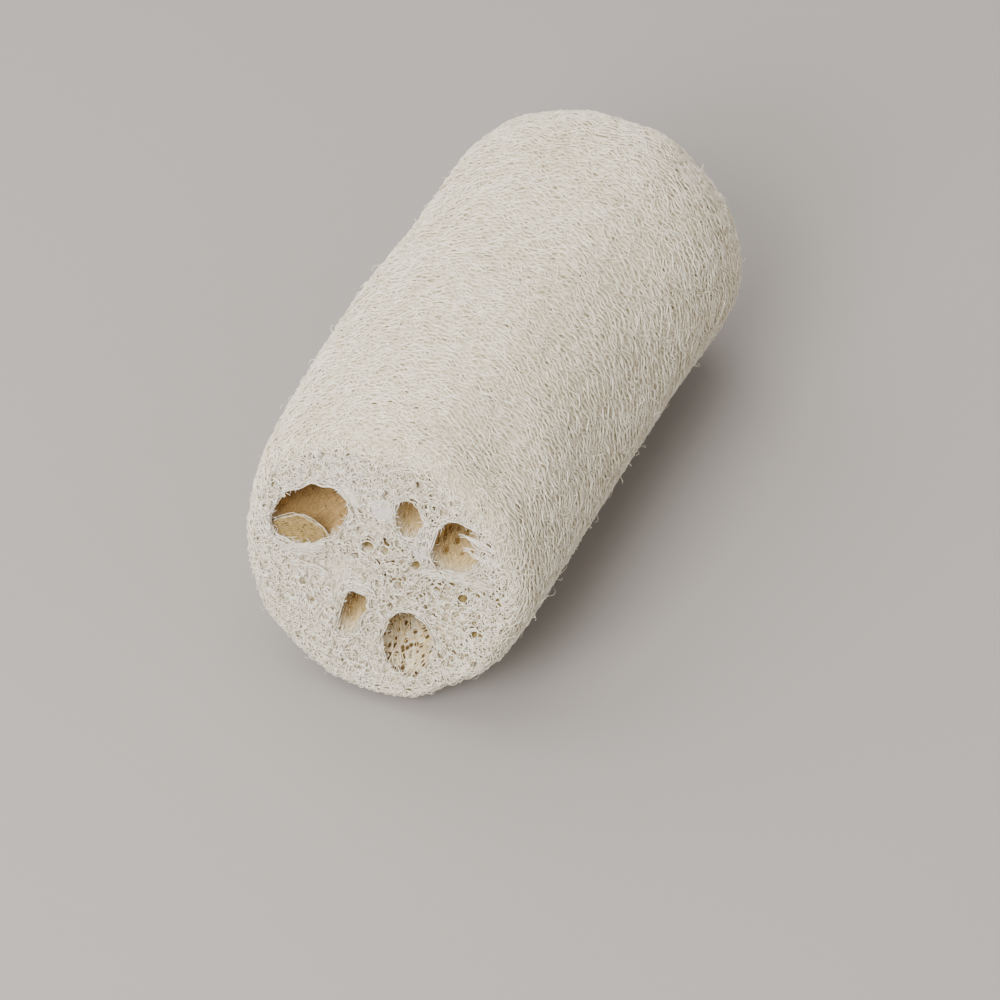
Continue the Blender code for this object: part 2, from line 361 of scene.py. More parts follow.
FACE_SPACING = 0.8 * MM
FACE_ROUGHNESS = 0.2 * MM
face_pores = {-1: drawn_pores(-1), 1: drawn_pores(1)}
placed = np.concatenate(wall_places)
for side, rings in zip((-1, 1), zip(*wall_rings)):
    triangles, knots = cut_face(placed, rings, FACE_SPACING)
    deep = side * (LENGTH / 2 - WALL_DEPTH - pore_depth(face_pores[side], knots[:, 0], knots[:, 1]))
    if side < 0:
        deep = deep + CUT_SLOPE_ACROSS * (knots[:, 0] - FRONT_OFFSET) + CUT_SLOPE_UP * knots[:, 1]
    deep = deep + draw.uniform(-FACE_ROUGHNESS, FACE_ROUGHNESS, len(knots))
    knot_places = np.stack([knots[:, 0], deep, knots[:, 1]], 1)
    order = np.concatenate([*rings, np.arange(wall_count, wall_count + len(knots))])
    wall_faces += order[triangles[:, ::side]].tolist()
    placed = np.concatenate([placed, knot_places])
    wall_count += len(knots)


def feed(socket, value):
    """Gives an input its constant value, or another node's output to follow."""
    if isinstance(value, bpy.types.NodeSocket):
        socket.id_data.links.new(value, socket)
    else:
        socket.default_value = value


def feed_all(node, **values):
    """Feeds a node's named inputs."""
    for name, value in values.items():
        feed(node.inputs[name.replace("_", " ")], value)


def result(nodes, kind, output, **values):
    """The output of a new node whose named inputs are fed."""
    node = nodes.new("ShaderNode" + kind)
    feed_all(node, **values)
    return node.outputs[output]


def rising(nodes, value, start, full):
    """The share by which a value has come from its start to its full one."""
    return result(nodes, "MapRange", "Result", Value=value, From_Min=start, From_Max=full)


def parted(nodes, place):
    """The X, Y and Z outputs of a place."""
    node = nodes.new("ShaderNodeSeparateXYZ")
    feed(node.inputs["Vector"], place)
    return node.outputs


def calculation(nodes, operation, *values):
    """The output of a Math node."""
    node = nodes.new("ShaderNodeMath")
    node.operation = operation
    for socket, value in zip(node.inputs, values):
        feed(socket, value)
    return node.outputs["Value"]


def colour_ramp(nodes, factor, *stops):
    """The output of a ramp between two colours, each given with its position."""
    node = nodes.new("ShaderNodeValToRGB")
    for element, (position, colour) in zip(node.color_ramp.elements, stops):
        element.position, element.color = position, colour
    feed(node.inputs["Fac"], factor)
    return node.outputs["Color"]


def mixed(nodes, share, first, second, blend="MIX"):
    """The output of a Mix node for two colours."""
    node = nodes.new("ShaderNodeMix")
    node.data_type, node.blend_type = "RGBA", blend
    for socket, value in (("Factor", share), (6, first), (7, second)):
        feed(node.inputs[socket], value)
    return node.outputs[2]


def new_material(name, roughness, specular):
    """A new material with its nodes and its shader."""
    material = bpy.data.materials.new(name)
    material.use_nodes = True
    nodes = material.node_tree.nodes
    shader = nodes["Principled BSDF"]
    feed_all(shader, Roughness=roughness, Specular_IOR_Level=specular)
    return material, nodes, shader


def felt_finish(name, way, stretch, dark, pale, pore_shade, holes=(850.0, 0.42, 0.12), spread=(0.42, 0.58)):
    """Felted fibre: streaks along one way, and small pores that are longer that way, sunk by a bump and
    coloured dark as painted shade. The holes are given by their scale and by where a pore starts and is full,
    and the spread says how many patches have them."""
    material, nodes, shader = new_material(name, 0.9, 0.15)
    place = result(nodes, "TexCoord", "Object")
    if way == "round":
        centred = result(nodes, "Mapping", "Vector", Vector=place, Location=[-shift for shift in AXIS_SHIFT])
        x, y, z = parted(nodes, centred)
        arc = calculation(nodes, "MULTIPLY", calculation(nodes, "ARCTAN2", x, z), DIAMETER / 2)
        place = result(nodes, "CombineXYZ", "Vector", X=arc, Y=y)
    stretched = result(nodes, "Mapping", "Vector", Vector=place, Scale=stretch)
    streaks = result(nodes, "TexNoise", "Fac", Vector=stretched, Scale=1500.0, Detail=4.0, Distortion=0.8)
    streak_colour = colour_ramp(nodes, streaks, (0.34, dark), (0.62, pale))
    scale, start, full = holes
    cells = result(nodes, "TexVoronoi", "Distance", Vector=stretched, Scale=scale)
    patches = result(nodes, "TexNoise", "Fac", Vector=place, Scale=260.0, Detail=2.0)
    share = calculation(nodes, "MULTIPLY", rising(nodes, cells, start, full), rising(nodes, patches, *spread))
    height = calculation(nodes, "SUBTRACT", streaks, share)
    feed_all(shader, Base_Color=mixed(nodes, share, streak_colour, pore_shade),
             Normal=result(nodes, "Bump", "Normal", Strength=0.7, Distance=0.35 * MM, Height=height))
    return material


def golden_and_shaded_inside(material, golden, start, full):
    """Multiplies a material by a colour with the depth behind the front cut or before the back one: a golden
    warmth in the chambers, and a golden tint with painted shade in the cut faces' pore pits.
    """
    nodes = material.node_tree.nodes
    colour = nodes["Principled BSDF"].inputs["Base Color"]
    x, y, z = parted(nodes, result(nodes, "TexCoord", "Object"))
    slant = calculation(nodes, "MULTIPLY_ADD", z, -CUT_SLOPE_UP, y)
    front = AXIS_SHIFT[1] - CUT_SLOPE_UP * AXIS_HEIGHT - LENGTH / 2
    back = AXIS_SHIFT[1] + LENGTH / 2
    behind = rising(nodes, slant, front + start, front + full)
    before = rising(nodes, y, back - start, back - full)
    inside = calculation(nodes, "MULTIPLY", behind, before)
    feed(colour, mixed(nodes, inside, colour.links[0].from_socket, golden, "MULTIPLY"))
    return material


# The golden tints deep inside, and the golden tint with painted shade in the cut faces' pore pits, each with
# the depths where it starts and is full.
GOLDEN = (0.80, 0.60, 0.33, 1), 0.2 * MM, 4.5 * MM
PALE_GOLDEN = (0.90, 0.76, 0.50, 1), 0.6 * MM, 6.0 * MM
QUICK_GOLDEN = PALE_GOLDEN[0], 0.4 * MM, 5.0 * MM
PORE_PIT_GOLD_AND_SHADE = (0.42, 0.34, 0.17, 1), 0.9 * MM, 2.2 * MM
# In each felt below the last colour is painted shade in its pores, darker than the felt's own streaks.
CHAMBER_COLOURS_AND_PORE_SHADE = (0.70, 0.62, 0.46, 1), (0.90, 0.82, 0.65, 1), (0.36, 0.26, 0.13, 1)
skin_felt = felt_finish("pale_skin_felt", "round", (0.38, 1.0, 1.0), (0.50, 0.43, 0.29, 1),
                        (0.84, 0.78, 0.63, 1), (0.20, 0.15, 0.07, 1))
golden_felt = golden_and_shaded_inside(felt_finish("golden_chamber_felt", "along", (1.0, 0.3, 1.0), *CHAMBER_COLOURS_AND_PORE_SHADE),
                            *GOLDEN)
fading_felt = golden_and_shaded_inside(felt_finish("fading_chamber_felt", "along", (1.0, 0.6, 1.0), *CHAMBER_COLOURS_AND_PORE_SHADE,
                                        (520.0, 0.42, 0.26), (0.30, 0.42)),
                            *PALE_GOLDEN)
fold_felt = felt_finish("golden_fold_felt", "along", (1.0, 0.7, 1.0), (0.22, 0.145, 0.048, 1),
                        (0.36, 0.255, 0.098, 1), (0.12, 0.075, 0.03, 1), (1250.0, 0.40, 0.20), (0.42, 0.56))
netted_felt = felt_finish("pored_chamber_felt", "along", (1.0, 0.7, 1.0), (0.60, 0.50, 0.32, 1),
                          (0.85, 0.76, 0.58, 1), (0.13, 0.08, 0.03, 1), (900.0, 0.47, 0.29), (0.24, 0.36))
# The cut felt turns golden and darker with depth in its pore pits; the darkening is painted shade.
cut_felt = golden_and_shaded_inside(felt_finish("white_cut_felt", "across", (0.7, 0.7, 0.7), (0.50, 0.42, 0.29, 1),
                                     (0.84, 0.77, 0.64, 1), (0.24, 0.18, 0.09, 1)),
                         *PORE_PIT_GOLD_AND_SHADE)
small_felt = golden_and_shaded_inside(felt_finish("small_chamber_felt", "along", (1.0, 0.3, 1.0), *CHAMBER_COLOURS_AND_PORE_SHADE),
                           *QUICK_GOLDEN)
WALL_FELTS = {"skin": skin_felt, "left": golden_felt, "upper_large": fading_felt, "lower_large": netted_felt,
              "cut": cut_felt, "small": small_felt}
felts = list(WALL_FELTS)
spongy_wall = mesh_object("spongy_wall", placed, wall_faces, *WALL_FELTS.values())
face_kinds = [felts.index("skin")] * (WALL_COLUMNS * (WALL_ROWS - 1))
for chamber, sides in TUBE_SIDES.items():
    face_kinds += [felts.index(chamber if chamber in felts else "small")] * (sides * (TUBE_ROWS - 1))
face_kinds += [felts.index("cut")] * (len(wall_faces) - len(face_kinds))
spongy_wall.data.polygons.foreach_set("material_index", face_kinds)


# The lengthwise net lies under the skin: slim tan fibres that run from end to end of the gourd
# and show through the pores of the skin as a warmer layer.
LONG_FIBRES = 120
LONG_POINTS = 50
LONG_WIDTH = 0.17 * MM
LONG_END = 0.6 * MM
TINY = 1e-12


def drift(places, size, seed, waves=6):
    """A smooth wandering value between about -1 and 1 over space, from a few crossed waves."""
    chosen = np.random.default_rng(seed)
    ways = chosen.normal(size=(waves, 3))
    ways *= 2 * np.pi / size / np.linalg.norm(ways, axis=1, keepdims=True)
    starts = chosen.uniform(0, 2 * np.pi, waves)
    return np.sin(places @ ways.T + starts).sum(-1) / math.sqrt(waves) / 1.1


def drawn(low, high, count):
    """A random value between two for each of a number of fibres, as a column."""
    return draw.uniform(low, high, (count, 1))


def scattered(spread, count):
    """A random value about nought for each of a number of fibres, as a column."""
    return draw.normal(0, spread, (count, 1))


def strands(name, paths, widths, outward, material, lying=False):
    """Three-sided fibres along many paths of as many points, as one object. A lying one has no
    underside."""
    count, points = paths.shape[:2]
    widths = (widths + np.zeros((count, points)))[..., None]
    tangents = np.gradient(paths, axis=1)
    tangents /= np.linalg.norm(tangents, axis=-1, keepdims=True) + TINY
    sideways = np.cross(tangents, outward)
    sideways /= np.linalg.norm(sideways, axis=-1, keepdims=True) + TINY
    lift = np.cross(sideways, tangents)
    corners = []
    for turn in np.radians((90, 210, 330)):
        corners.append(paths + widths * (sideways * np.cos(turn) + lift * np.sin(turn)))
    places = np.stack(corners, 2).reshape(-1, 3)
    places[:, 2] = np.maximum(places[:, 2], -AXIS_HEIGHT)
    start = (np.arange(count)[:, None] * points + np.arange(points - 1)[None, :]).reshape(-1) * 3
    sides = [np.stack([start + c, start + (c + 1) % 3, start + 3 + (c + 1) % 3, start + 3 + c], 1)
             for c in ((0, 2) if lying else (0, 1, 2))]
    first = np.arange(count) * points * 3
    last = first + (points - 1) * 3
    caps = np.concatenate([np.stack([first + 2, first + 1, first], 1),
                           np.stack([last, last + 1, last + 2], 1)])
    mesh_object(name, places, np.concatenate(sides).tolist() + caps.tolist(), material)


def fibre_finish(name, dark, pale, scale, roughness):
    """Dull dry fibre whose shade drifts from strand to strand."""
    material, nodes, shader = new_material(name, roughness, 0.25)
    place = result(nodes, "TexCoord", "Object")
    fine = result(nodes, "TexNoise", "Fac", Vector=place, Scale=scale, Detail=3.0)
    broad = result(nodes, "TexNoise", "Fac", Vector=place, Scale=70.0)
    both = calculation(nodes, "MULTIPLY_ADD", broad, 0.35, fine)
    feed_all(shader, Base_Color=colour_ramp(nodes, both, (0.5, dark), (0.85, pale)),
             Normal=result(nodes, "Bump", "Normal", Strength=0.35, Distance=0.1 * MM, Height=fine))
    return material


tan_fibre = fibre_finish("tan_under_fibre", (0.58, 0.50, 0.35, 1), (0.82, 0.75, 0.60, 1), 1400.0, 0.85)
long_start = (np.arange(LONG_FIBRES)[:, None] + drawn(-0.3, 0.3, LONG_FIBRES)) / LONG_FIBRES
long_run = np.linspace(LONG_END, SKIN_RUN - LONG_END, LONG_POINTS)[None, :] + np.zeros((LONG_FIBRES, 1))
long_angle = 2 * np.pi * long_start + np.zeros_like(long_run)
rough = skin_place(long_angle, long_run, np.zeros_like(long_run))
long_angle = long_angle + 0.035 * drift(rough, 14 * MM, 3) + 0.012 * drift(rough, 5 * MM, 4)
long_height = (-0.6 + 0.1 * drift(rough, 6 * MM, 5)) * MM
strands("lengthwise_net", skin_place(long_angle, long_run, long_height, 0.3 * MM),
        LONG_WIDTH * (1 + 0.25 * drift(rough, 7 * MM, 6)), skin_normal(long_angle, long_run), tan_fibre,
        lying=True)


# The skin's net: pale fibres that run round the gourd and join and part again, so that they
# leave long narrow pores between them. They are the gourd's own veins, stripped of their flesh.
NET_SPACING = 0.70 * MM
NET_WAVES = 62
NET_POINTS = 376
NET_WIDTH = 0.15 * MM
NET_END = 0.1 * MM
pale_fibre = fibre_finish("pale_skin_fibre", (0.66, 0.58, 0.42, 1), (0.93, 0.87, 0.73, 1), 1300.0, 0.8)
net_lines = int(SKIN_RUN / NET_SPACING)
for half, name in enumerate(("skin_net_front", "skin_net_back")):
    line = np.arange(half * (net_lines // 2), net_lines if half else net_lines // 2)[:, None]
    angle = np.linspace(0, 2 * np.pi, NET_POINTS)[None, :] + np.zeros_like(line)
    run = (line + 0.5) * NET_SPACING + np.zeros_like(angle)
    rough = skin_place(angle, run, np.zeros_like(angle))
    phase = NET_WAVES * angle + np.pi * line + 3.2 * drift(rough, 11 * MM, 21)
    run = run + 0.5 * NET_SPACING * np.sin(phase) + 0.8 * MM * drift(rough, 9 * MM, 22)
    run = run + 0.26 * MM * drift(rough, 2.8 * MM, 25)
    run = np.clip(run, NET_END, SKIN_RUN - NET_END)
    height = (-0.36 + 0.1 * np.sin(phase * 0.5 + line) + 0.12 * drift(rough, 4 * MM, 23)) * MM
    width = NET_WIDTH * (1 + 0.3 * drift(rough, 5 * MM, 24))
    strands(name, skin_place(angle, run, height, 0.15 * MM), width, skin_normal(angle, run), pale_fibre,
            lying=True)


# Finer fibres lie loose over the net, most of them round the gourd, and give the skin its
# combed look. They are the outermost veins, some torn where the rind was peeled off.
LOOSE_FIBRES = 10400
LOOSE_POINTS = 5
LOOSE_REACH = 1.4 * MM, 4.6 * MM
LOOSE_WIDTH = 0.08 * MM, 0.17 * MM
LOOSE_HEADING = 30
LOOSE_OVER_RIM = 2 * MM
white_fibre = fibre_finish("white_loose_fibre", (0.79, 0.73, 0.58, 1), (0.95, 0.90, 0.77, 1), 1100.0, 0.75)
for half, name in enumerate(("loose_fibres_front", "loose_fibres_back")):
    count = LOOSE_FIBRES // 2
    middle_run = (half + drawn(0, 1, count)) * (SKIN_RUN + 2 * LOOSE_OVER_RIM) / 2 - LOOSE_OVER_RIM
    middle_angle = drawn(0, 2 * np.pi, count)
    reach = drawn(*LOOSE_REACH, count)
    heading = np.radians(scattered(LOOSE_HEADING, count))
    bend = scattered(0.08 / MM, count)
    step = np.linspace(-0.5, 0.5, LOOSE_POINTS)[None, :] * reach
    round_way = step * np.cos(heading)
    along_way = step * np.sin(heading) + 0.5 * bend * step ** 2
    radius_there = DIAMETER / 2 - np.interp(middle_run, profile_run, profile[:, 0])
    angle = middle_angle + round_way / radius_there
    run = middle_run + along_way
    rough = skin_place(angle, run, np.zeros_like(angle))
    run = run + 0.5 * MM * drift(rough, 4 * MM, 31)
    run = np.clip(run, -ONTO_FACE, SKIN_RUN + ONTO_FACE)
    arch = 1 - (2 * np.abs(step) / reach) ** 2
    height = (-0.42 + drawn(0.2, 0.5, count) * arch) * MM
    width = drawn(*LOOSE_WIDTH, count) * (0.45 + 0.55 * arch)
    strands(name, skin_place(angle, run, height, 0.1 * MM), width, skin_normal(angle, run), white_fibre,
            lying=True)


# The cut faces are an open sponge: short curled fibres that join in knots, with pores of a
# millimetre or two. The knife left their ends standing.
FACE_SWELL_SIZE, FACE_SWELL = 12 * MM, 0.8 * MM
CUT_LAYERS = (1.5 * MM, 0.0), (1.4 * MM, 0.7 * MM)
LAYER_LOOSENESS = 0.3 * MM
LONGEST_TIE = 3.4 * MM
TIE_SAG, TIE_CURL = 0.3 * MM, 0.16 * MM
TIE_WIDTH = 0.10 * MM, 0.20 * MM


def face_paths(side, spots, depths):
    """Paths on a cut face from their x, z and depths, leaning as the cut does."""
    x, z = spots[..., 0] - CUT_OFFSET[side], spots[..., 1]
    y = side * (LENGTH / 2 + FACE_SWELL * slow_noise(FACE_SWELL_SIZE, x, z, 0 * x) - depths)
    return lean(np.stack([x, y, z], -1))


def sponge_face(name, side, material):
    """A cut face's net: knots in layers, each joined to its nearest neighbours by curved fibres."""
    share = CUT_SHARE[side]
    offset = np.array([CUT_OFFSET[side], 0.0])
    turn = np.linspace(0, 2 * np.pi, 60, endpoint=False)
    y_end = np.full_like(turn, side * LENGTH / 2)
    rim = (FRONT_RIM if side < 0 else BACK_SHOULDER)[0]
    radius = base_radius(turn, y_end) + swelling_at(turn, y_end) - rim
    outline = np.stack([radius * np.cos(turn), radius * np.sin(turn)], 1)
    pores = face_pores[side]
    knots, depths = [], []
    for spacing, depth in CUT_LAYERS:
        spots = staggered_spots(spacing, 34 * MM, 0.38)
        keep = within(spots, outline * (1 + 0.04 * depth / MM) + offset) & open_spots(spots, share, 0.0)
        keep &= (np.hypot(*(spots[:, None] - pores[:, :2]).transpose(2, 0, 1)) > pores[:, 2]).all(1)
        knots.append(spots[keep])
        depths.append(depth + draw.uniform(-LAYER_LOOSENESS, LAYER_LOOSENESS, keep.sum()))
    knots, depths = np.concatenate(knots), np.concatenate(depths)
    knot_places = face_paths(side, knots, depths)
    tree = kdtree.KDTree(len(knot_places))
    for n, place in enumerate(knot_places):
        tree.insert(place, n)
    tree.balance()
    joined = set()
    for n, place in enumerate(knot_places):
        for _, other, distance in tree.find_n(place, 5)[1:5]:
            if distance < LONGEST_TIE:
                joined.add((min(n, other), max(n, other)))
    pairs = np.array(sorted(joined))
    middles = (knots[pairs[:, 0]] + knots[pairs[:, 1]]) / 2
    crossing = np.hypot(*(middles[:, None] - pores[:, :2]).transpose(2, 0, 1)) < 0.8 * pores[:, 2]
    pairs = pairs[~crossing.any(1) & open_spots(middles, share, -0.3 * MM)]
    start, end = knot_places[pairs[:, 0]], knot_places[pairs[:, 1]]
    share = np.linspace(0, 1, 6)[None, :, None]
    paths = start[:, None] * (1 - share) + end[:, None] * share
    sag = draw.normal(0, TIE_SAG, (len(pairs), 1, 3))
    curl = draw.normal(0, TIE_CURL, (len(pairs), 1, 3))
    paths = paths + sag * np.sin(np.pi * share) + curl * np.sin(2 * np.pi * share)
    width = drawn(*TIE_WIDTH, len(pairs)) * (1.25 - 0.5 * np.sin(np.pi * share[..., 0]))
    outward = np.zeros_like(paths)
    outward[..., 0], outward[..., 1] = 0.3, side
    strands(name, paths, width, outward, material, lying=True)


def facing(paths, side):
    """The way out of a cut face, for each point of the paths on it."""
    outward = np.zeros_like(paths)
    outward[..., 0], outward[..., 1] = 0.2, side
    return outward


cut_fibre = fibre_finish("white_cut_fibre", (0.68, 0.61, 0.48, 1), (0.96, 0.91, 0.82, 1), 900.0, 0.75)
sponge_face("front_cut_net", -1, cut_fibre)
sponge_face("back_cut_net", 1, cut_fibre)


# Each pore and each chamber's mouth has a rim of fibres that run round it, and short torn ends
# stand over the mouths.
RIMMED_RADIUS = 0.5 * MM
RIM_ARCS, RIM_ARC_TURN, RIM_POINTS = 3, 3.6, 10
RIM_WIDTH = 0.11 * MM, 0.17 * MM
for side, name in ((-1, "front_pore_rims"), (1, "back_pore_rims")):
    pores = np.repeat(face_pores[side][face_pores[side][:, 2] > RIMMED_RADIUS], RIM_ARCS, 0)
    count = len(pores)
    ring_turn = drawn(0, 2 * np.pi, count) + np.linspace(0, RIM_ARC_TURN, RIM_POINTS)
    wobble = 1 + 0.18 * np.sin(2 * ring_turn + drawn(0, 6, count))
    wobble += 0.1 * np.sin(3 * ring_turn + drawn(0, 6, count))
    reach = (pores[:, 2:] * drawn(0.95, 1.2, count) + 0.08 * MM) * wobble
    spots = pores[:, None, :2] + reach[..., None] * np.stack([np.cos(ring_turn), np.sin(ring_turn)], -1)
    paths = face_paths(side, spots, drawn(-0.1 * MM, 0.5 * MM, count) + 0 * reach)
    strands(name, paths, drawn(*RIM_WIDTH, count), facing(paths, side), cut_fibre, lying=True)

MOUTH_ARCS = 30
ARC_POINTS = 16
ARC_TURN = 0.7, 2.0
ARC_WIDTH = 0.12 * MM, 0.2 * MM
TUFT_REACH = 0.5 * MM, 1.7 * MM
TUFT_POINTS = 6
TUFT_WIDTH = 0.14 * MM
TUFTS = {"left": 60, "upper_small": 26, "upper_large": 34, "lower_small": 24, "lower_large": 22}
for side, name in ((-1, "front_mouth_rims"), (1, "back_mouth_rims")):
    loops, tufts = [], []
    for chamber, count in TUFTS.items():
        step = np.linspace(-0.5, 0.5, ARC_POINTS)[None, :]
        turn = drawn(0, 2 * np.pi, MOUTH_ARCS)
        if chamber == "lower_large":
            turn = turn[np.sin(turn[:, 0]) > -0.35]
        arcs = len(turn)
        turn = turn + drawn(*ARC_TURN, arcs) * step
        out = drawn(-0.3 * MM, 0.9 * MM, arcs) + drawn(-0.4 * MM, 1.6 * MM, arcs) * (2 * step) ** 4
        share = np.full(turn.shape, CUT_SHARE[side])
        flat = chamber_place(chamber, turn, share)
        fine = drift(flat + 10 * out[:, :1, None], 3 * MM, 51)
        out = out + MM * (0.25 * fine + 0.35 * drift(flat, 7 * MM, 52))
        loop = chamber_place(chamber, turn, share, out)
        loop[..., 1] -= side * drawn(-0.2 * MM, 0.9 * MM, arcs)
        loops.append(lean(loop))
        angle = drawn(0, 2 * np.pi, count)
        reach = drawn(*TUFT_REACH, count) * np.linspace(0, 1, TUFT_POINTS)[None, :]
        tuft = chamber_place(chamber, angle + scattered(0.12, count) * reach / MM,
                             np.full(reach.shape, CUT_SHARE[side]), 0.4 * MM - reach)
        tuft[..., 1] -= side * (drawn(0, 1.6 * MM, count) + drawn(-0.3, 0.5, count) * reach)
        tufts.append(lean(tuft))
    loops, tufts = np.concatenate(loops), np.concatenate(tufts)
    strands(name, loops, drawn(*ARC_WIDTH, len(loops)), facing(loops, side), cut_fibre)
    strands(name.replace("rims", "tufts"), tufts, TUFT_WIDTH * np.linspace(1, 0.4, TUFT_POINTS),
            facing(tufts, side), cut_fibre)


# The skin's fibres curl over both rims and end on the cut faces.
CURL_POINTS = 8
CURL_REACH = 1.8 * MM, 4.2 * MM
CURL_WIDTH = 0.08 * MM, 0.15 * MM
CURLS_FROM, CURLS_OVER = 3.0 * MM, 11.5 * MM


def curled(turn, reach):
    """How far the points of a curling fibre go round and along, from its heading at each."""
    return [np.cumsum(way(turn), 1) / turn.shape[1] * reach for way in (np.cos, np.sin)]


for side, name, first, count in ((-1, "front_rim_curls", 0.0, 1700), (1, "back_rim_curls", SKIN_RUN, 900)):
    step = np.linspace(-0.5, 0.5, CURL_POINTS)[None, :]
    turn = drawn(0, 2 * np.pi, count) + scattered(1.6, count) * step
    round_way, along_way = curled(turn, drawn(*CURL_REACH, count))
    run = first - side * (CURLS_FROM - CURLS_OVER * drawn(0, 1, count) ** 1.2 + along_way)
    run = np.clip(run, -ONTO_FACE, SKIN_RUN + ONTO_FACE)
    radius_there = DIAMETER / 2 - np.interp(run, profile_run, profile[:, 0])
    angle = drawn(0, 2 * np.pi, count) + round_way / radius_there
    arch = 1 - (2 * step) ** 2
    height = (-0.5 + drawn(0.3, 0.75, count) * arch) * MM
    width = drawn(*CURL_WIDTH, count) * (0.5 + 0.5 * arch)
    paths, outward = skin_place(angle, run, height, 0.1 * MM), skin_normal(angle, run)
    on_face = open_spots(paths[..., [0, 2]].reshape(-1, 2), CUT_SHARE[side], 0.2 * MM)
    kept = (on_face.reshape(count, CURL_POINTS) | (side * (run - first) < 0)).all(1)
    strands(name, paths[kept], width[kept], outward[kept], white_fibre, lying=True)

# Longer straight fibres lie over the cut faces, pulled up by the knife.
PULLED_POINTS = 7
PULLED_REACH = 2.5 * MM, 7.0 * MM
PULLED_WIDTH = 0.07 * MM, 0.13 * MM
for side, name, count, limit in ((-1, "front_pulled_fibres", 520, 27 * MM),
                                 (1, "back_pulled_fibres", 200, 18 * MM)):
    step = np.linspace(-0.5, 0.5, PULLED_POINTS)[None, :]
    away = limit * np.sqrt(drawn(0, 1, count))
    turn = drawn(0, 2 * np.pi, count)
    way = drawn(0, np.pi, count) + scattered(0.7, count) * step
    reach = drawn(*PULLED_REACH, count)
    spots = np.stack([away * np.cos(turn) + reach * step * np.cos(way),
                      away * np.sin(turn) + reach * step * np.sin(way)], -1)
    spots[..., 0] += CUT_OFFSET[side]
    wide = face_pores[side][face_pores[side][:, 2] > 0.6 * MM]
    kept = open_spots(spots.reshape(-1, 2), CUT_SHARE[side], 0.3 * MM).reshape(count, PULLED_POINTS).all(1)
    kept &= (np.hypot(*(spots[:, :, None] - wide[:, :2]).transpose(3, 0, 1, 2)) > wide[:, 2]).all((1, 2))
    depth = (0.3 - drawn(0.1, 0.45, count) * (1 - (2 * step) ** 2)) * MM
    paths = face_paths(side, spots[kept], depth[kept])
    width = drawn(*PULLED_WIDTH, count) * (1 - 1.2 * step ** 2)
    strands(name, paths, width[kept], facing(paths, side), white_fibre, lying=True)


# Pale webs cross the front cut: bands of fibre between the chambers, the folded edges of two
# thin films, and fingers of torn net that reach over the upper mouth. A web is given by the x and
# z of its marks, its breadth, its count of fibres and its depth, in mm.
WEBS = {
    "under_upper_mouth": (((8.4, 2.3), (10.9, 5.0), (15.2, 5.4), (19.6, 5.6), (25.5, 6.8)), 2.0, 10, -0.2),
    "left_lip": (((-21.0, 0.2), (-18.2, -0.4), (-14.2, 1.0), (-11.0, 3.2)), 1.5, 8, -0.1),
    "left_strand": (((-18.4, -3.6), (-14.8, -2.5), (-11.6, -2.6), (-9.8, -4.2)), 0.8, 5, -0.3),
    "lower_hood": (((-6.4, -5.3), (-4.7, -4.1), (-1.0, -3.8), (0.4, -5.6)), 1.1, 6, -0.1),
    "septum_edge": (((9.6, 20.5), (10.2, 16.4), (10.0, 12.0), (8.8, 9.0)), 1.2, 6, 0.0),
    "finger_one": (((24.6, 13.8), (22.8, 14.9), (20.6, 15.1), (18.6, 16.1), (16.6, 15.7)), 2.3, 9, 0.2),
    "finger_two": (((25.4, 10.6), (23.8, 11.9), (21.6, 12.0), (19.6, 13.0), (17.9, 12.7)), 2.1, 8, 0.2),
    "finger_three": (((25.2, 8.3), (23.4, 9.3), (21.4, 9.3), (19.7, 10.2)), 1.6, 6, 0.3),
    "tooth_one": (((14.6, 21.6), (15.4, 19.9), (16.4, 17.8)), 1.2, 5, 0.3),
    "tooth_two": (((16.6, 22.4), (17.0, 20.6), (17.4, 17.9)), 1.1, 5, 0.3),
    "tooth_three": (((19.0, 22.0), (18.7, 20.0), (18.5, 17.3)), 1.1, 5, 0.3),
}
WEB_POINTS = 24
WEB_TIP = 0.08
TORN_LENGTH = 0.6, 1.0
WEB_WIDTH = 0.1 * MM, 0.17 * MM


def at_places(line, places):
    """The points of a line at places counted in its own points."""
    return np.stack([np.interp(places, np.arange(len(line)), column) for column in line.T], 1)


def smooth_line(marks, points, turns):
    """A line of evenly spaced points through marks, with its corners smoothed in turns."""
    line = at_places(marks, np.linspace(0, len(marks) - 1, points))
    for _ in range(turns):
        line[1:-1] = (line[:-2] + 2 * line[1:-1] + line[2:]) / 4
    return line


web_paths = []
for web, (marks, breadth, count, depth) in WEBS.items():
    pointed = web.startswith(("finger", "tooth"))
    line = smooth_line(np.array(marks) * MM + FRONT_MIDDLE, WEB_POINTS, 6)
    way = np.gradient(line, axis=0)
    across = np.stack([-way[:, 1], way[:, 0]], 1) / np.linalg.norm(way, axis=1, keepdims=True)
    for n in range(count):
        taper = np.linspace(1, WEB_TIP, WEB_POINTS) if pointed else 1.0
        wander = drift(np.column_stack([line, np.full(WEB_POINTS, 3 * MM * n)]), 4 * MM, 61)
        offset = (n / (count - 1) - 0.5) * breadth * taper + (0.45 if pointed else 0.3) * wander
        spots = line + across * offset[:, None] * MM
        if pointed:
            torn = np.linspace(0, draw.uniform(*TORN_LENGTH), WEB_POINTS)
            spots = at_places(spots, torn * (WEB_POINTS - 1))
        sunk = np.full((1, WEB_POINTS), (depth + 0.1 * draw.normal()) * MM)
        web_paths.append(face_paths(-1, spots[None], sunk))
web_paths = np.concatenate(web_paths)
strands("pale_webs", web_paths, drawn(*WEB_WIDTH, len(web_paths)), facing(web_paths, -1), cut_fibre)

